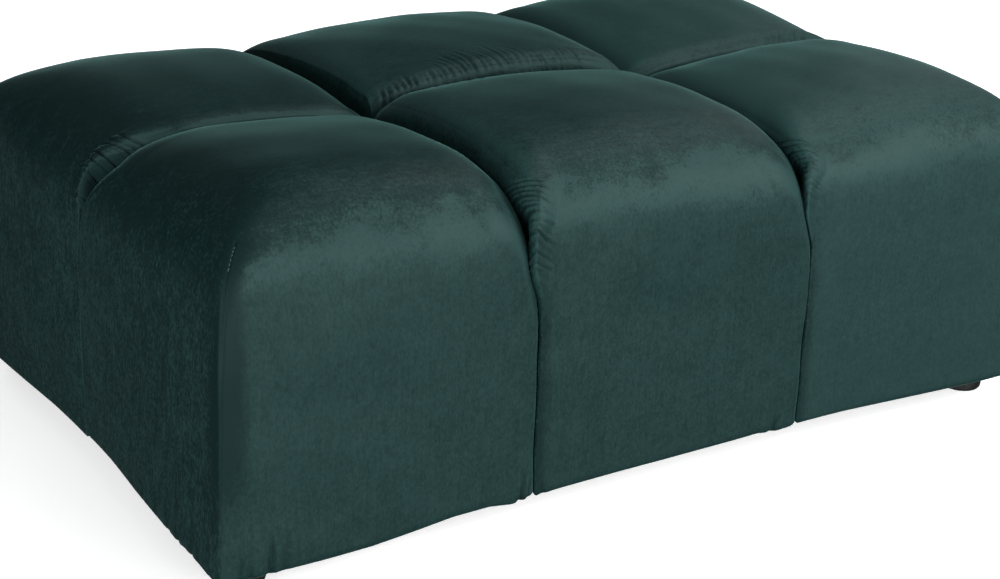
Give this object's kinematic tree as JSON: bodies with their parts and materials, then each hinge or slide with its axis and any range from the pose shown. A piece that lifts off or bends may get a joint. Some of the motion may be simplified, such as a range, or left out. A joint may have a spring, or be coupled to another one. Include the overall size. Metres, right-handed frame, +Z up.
{
  "type": "ottoman footstool",
  "caption": "Low rectangular velvet ottoman footstool of plump square filled blocks with sewn channels between them, on short round plastic feet.",
  "frame": {"origin": "on the floor, under the middle of the footstool's outline", "axes": "+X along the long front, to the right as seen from the front; +Y from the front to the back; +Z up"},
  "size_m": [1.0146, 0.6846, 0.3836],
  "materials": {
    "velvet": "deep teal green short-pile velvet with a soft sheen",
    "foot_plastic": "black moulded plastic, satin"
  },
  "bodies": {
    "root": {"block_front_left": "velvet", "block_front_middle": "velvet", "block_front_right": "velvet", "block_back_left": "velvet", "block_back_middle": "velvet", "block_back_right": "velvet", "foot_front_left": "foot_plastic", "foot_front_right": "foot_plastic", "foot_back_left": "foot_plastic", "foot_back_right": "foot_plastic"}
  },
  "joints": []
}
